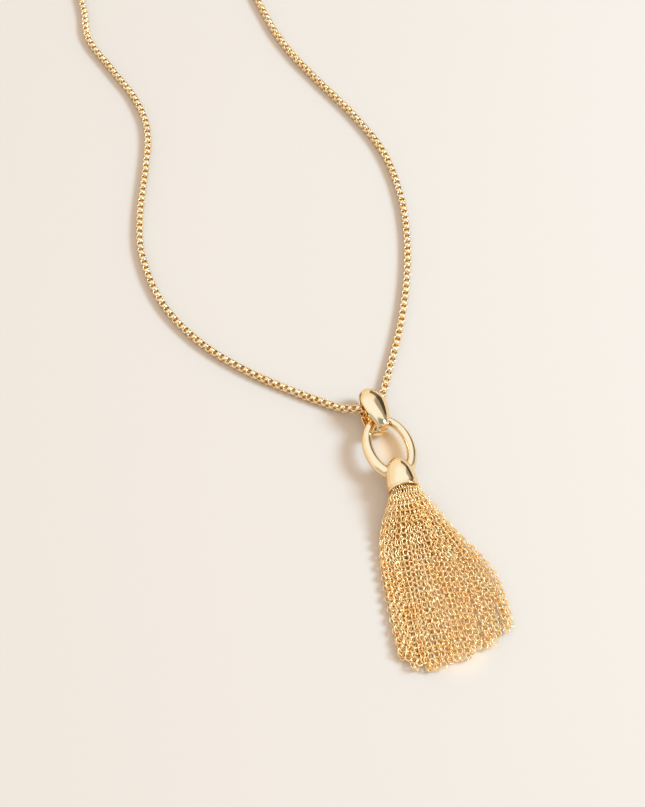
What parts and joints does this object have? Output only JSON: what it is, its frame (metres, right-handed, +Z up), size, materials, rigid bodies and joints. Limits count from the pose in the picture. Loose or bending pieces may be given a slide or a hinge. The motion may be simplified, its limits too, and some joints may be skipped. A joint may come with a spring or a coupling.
{
  "type": "tassel necklace",
  "caption": "Long gold-coloured chain necklace laid flat, with a polished bail, an oval ring and a capped tassel of fine chains.",
  "frame": {"origin": "middle of the necklace's outline, on the surface it lies on", "axes": "+Z up from the surface, -Y towards the tassel's end, +Y towards the clasp, +X to the right"},
  "size_m": [0.1662, 0.4288, 0.0093],
  "materials": {
    "chain_gold": "polished gold plating on a fine link chain",
    "polished_gold": "mirror-polished pale gold plating",
    "tassel_gold": "bright gold plating on fine cable chains"
  },
  "bodies": {
    "root": {"chain_left": "chain_gold", "chain_right": "chain_gold", "clasp": "polished_gold", "bail": "polished_gold", "oval_ring": "polished_gold", "tassel_cap": "polished_gold", "tassel": "tassel_gold"}
  },
  "joints": []
}
